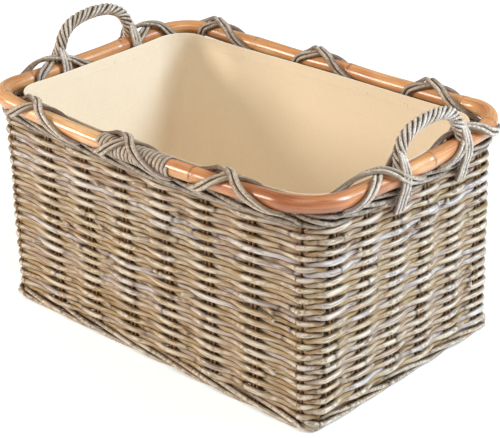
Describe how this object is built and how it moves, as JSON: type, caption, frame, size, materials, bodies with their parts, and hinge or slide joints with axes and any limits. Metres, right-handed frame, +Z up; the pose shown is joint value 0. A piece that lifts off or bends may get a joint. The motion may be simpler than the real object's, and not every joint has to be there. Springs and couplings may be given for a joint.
{
  "type": "lined log basket",
  "caption": "Rectangular woven cane log basket with a lashed bent-cane rim, roped end handles and a lift-out cotton liner.",
  "frame": {"origin": "middle of the underside, on the surface the basket stands on", "axes": "+X along the long side to the right end, +Y to the back, +Z up; the front long side, with the bound joint of the rim, faces -Y"},
  "size_m": [0.6328, 0.4108, 0.378],
  "materials": {
    "weave_cane": "grey-washed round cane, matt with a slight bark sheen",
    "stake_cane": "dark unsplit cane, matt",
    "border_cane": "grey-brown twisted cane, matt",
    "band_cane": "tight dark cane, satin",
    "rim_cane": "peeled and oiled cane pole, semi-gloss, with growth rings",
    "binding_cane": "flat split cane, satin",
    "lashing_cane": "grey-brown round cane, satin",
    "handle_cane": "grey-beige twisted cane, matt",
    "core_cane": "plain cane, hidden",
    "liner_cloth": "unbleached cotton canvas with faint flecks"
  },
  "bodies": {
    "basket": {"foot_border": "border_cane", "base_weave": "weave_cane", "base_sticks": "stake_cane", "front_weave": "weave_cane", "back_weave": "weave_cane", "left_weave": "weave_cane", "right_weave": "weave_cane", "front_right_corner_weave": "weave_cane", "back_right_corner_weave": "weave_cane", "back_left_corner_weave": "weave_cane", "front_left_corner_weave": "weave_cane", "front_stakes": "stake_cane", "back_stakes": "stake_cane", "left_stakes": "stake_cane", "right_stakes": "stake_cane", "corner_stakes": "stake_cane", "top_band": "band_cane", "rim_pole": "rim_cane", "splice_binding": "binding_cane", "front_lashing": "lashing_cane", "back_lashing": "lashing_cane", "left_lashing": "lashing_cane", "right_lashing": "lashing_cane", "left_handle_core": "core_cane", "right_handle_core": "core_cane", "left_handle_rope": "handle_cane", "right_handle_rope": "handle_cane", "left_handle_ties": "handle_cane", "right_handle_ties": "handle_cane"},
    "liner": {"liner_front": "liner_cloth", "liner_back": "liner_cloth", "liner_left": "liner_cloth", "liner_right": "liner_cloth", "liner_floor": "liner_cloth"}
  },
  "joints": [
    {"name": "liner_lift", "type": "slide", "parent": "basket", "child": "liner", "axis": [0, 0, 1], "range_m": [0, 0.37]}
  ]
}
